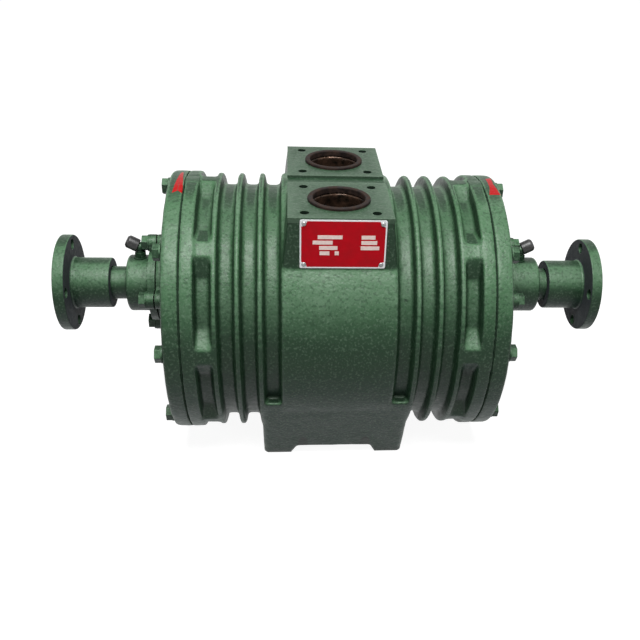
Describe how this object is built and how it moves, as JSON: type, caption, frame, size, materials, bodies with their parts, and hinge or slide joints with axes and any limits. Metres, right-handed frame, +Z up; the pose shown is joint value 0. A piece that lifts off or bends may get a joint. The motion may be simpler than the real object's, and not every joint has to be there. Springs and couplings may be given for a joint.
{
  "type": "sliding-vane vacuum pump",
  "caption": "Air-cooled sliding-vane vacuum pump with a finned cylinder, ported top block, end covers and a through shaft with companion flanges.",
  "frame": {"origin": "centre of the base's underside, below the middle of the shaft", "axes": "+X along the shaft to the right-hand flange, +Z up, -Y to the nameplate side"},
  "size_m": [0.658, 0.316, 0.335],
  "materials": {
    "green_enamel": "glossy hammered dark green enamel over cast iron",
    "painted_bolt": "steel bolts painted over with the same green enamel",
    "fitting_green": "paler green overspray on a steel fitting",
    "black_cap": "black plastic dust cap",
    "seal_rubber": "oily black rubber",
    "gasket_sheet": "compressed fibre sheet",
    "nameplate_red": "satin red enamel with bare silver fields",
    "rivet_metal": "domed aluminium",
    "bearing_steel": "ground bearing steel",
    "cage_brass": "machined brass",
    "shaft_steel": "turned steel, overpainted green where it shows",
    "machined_steel": "machined steel",
    "rotor_iron": "oily turned cast iron",
    "vane_composite": "fibre-reinforced resin"
  },
  "bodies": {
    "pump": {"pump_body": "green_enamel", "front_port_seal_ring": "seal_rubber", "rear_port_seal_ring": "seal_rubber", "nameplate": "nameplate_red", "nameplate_rivets": "rivet_metal", "left_cover_gasket": "gasket_sheet", "left_end_cover": "green_enamel", "left_cover_bolts": "painted_bolt", "left_cover_dowels": "bearing_steel", "left_cap_gasket": "gasket_sheet", "left_bearing_cap": "green_enamel", "left_cap_bolts": "painted_bolt", "left_oil_fitting": "fitting_green", "left_fitting_cap": "black_cap", "left_bearing_outer_ring": "bearing_steel", "left_oil_seal": "seal_rubber", "left_chamber_seal": "seal_rubber", "right_cover_gasket": "gasket_sheet", "right_end_cover": "green_enamel", "right_cover_bolts": "painted_bolt", "right_cover_dowels": "bearing_steel", "right_cap_gasket": "gasket_sheet", "right_bearing_cap": "green_enamel", "right_cap_bolts": "painted_bolt", "right_oil_fitting": "fitting_green", "right_fitting_cap": "black_cap", "right_bearing_outer_ring": "bearing_steel", "right_oil_seal": "seal_rubber", "right_chamber_seal": "seal_rubber"},
    "rotor": {"shaft": "shaft_steel", "rotor_drum": "rotor_iron", "rotor_key": "machined_steel", "left_bearing_inner_ring": "bearing_steel", "left_companion_flange": "green_enamel", "left_hub_key": "machined_steel", "left_end_washer": "machined_steel", "left_end_bolt": "machined_steel", "right_bearing_inner_ring": "bearing_steel", "right_companion_flange": "green_enamel", "right_hub_key": "machined_steel", "right_end_washer": "machined_steel", "right_end_bolt": "machined_steel"},
    "left_cage": {"left_roller_cage": "cage_brass", "left_rollers": "bearing_steel"},
    "right_cage": {"right_roller_cage": "cage_brass", "right_rollers": "bearing_steel"},
    "vane_1": {"vane_1": "vane_composite"},
    "vane_2": {"vane_2": "vane_composite"},
    "vane_3": {"vane_3": "vane_composite"},
    "vane_4": {"vane_4": "vane_composite"}
  },
  "joints": [
    {"name": "rotor_spin", "type": "hinge", "parent": "pump", "child": "rotor", "pos_m": [0, 0, 0.195], "axis": [1, 0, 0], "continuous": true},
    {"name": "left_cage_spin", "type": "hinge", "parent": "pump", "child": "left_cage", "pos_m": [0, 0, 0.195], "axis": [1, 0, 0], "continuous": true},
    {"name": "right_cage_spin", "type": "hinge", "parent": "pump", "child": "right_cage", "pos_m": [0, 0, 0.195], "axis": [1, 0, 0], "continuous": true},
    {"name": "vane_1_slide", "type": "slide", "parent": "rotor", "child": "vane_1", "axis": [0, 0.7071, 0.7071], "range_m": [-0.0018, 0.0055]},
    {"name": "vane_2_slide", "type": "slide", "parent": "rotor", "child": "vane_2", "axis": [0, 0.7071, -0.7071], "range_m": [-0.0018, 0.0055]},
    {"name": "vane_3_slide", "type": "slide", "parent": "rotor", "child": "vane_3", "axis": [0, -0.7071, -0.7071], "range_m": [-0.0018, 0.0055]},
    {"name": "vane_4_slide", "type": "slide", "parent": "rotor", "child": "vane_4", "axis": [0, -0.7071, 0.7071], "range_m": [-0.0018, 0.0055]}
  ],
  "couplings": [
    {"joint": "left_cage_spin", "follows": "rotor_spin", "ratio": 0.40909},
    {"joint": "right_cage_spin", "follows": "rotor_spin", "ratio": 0.40909}
  ]
}
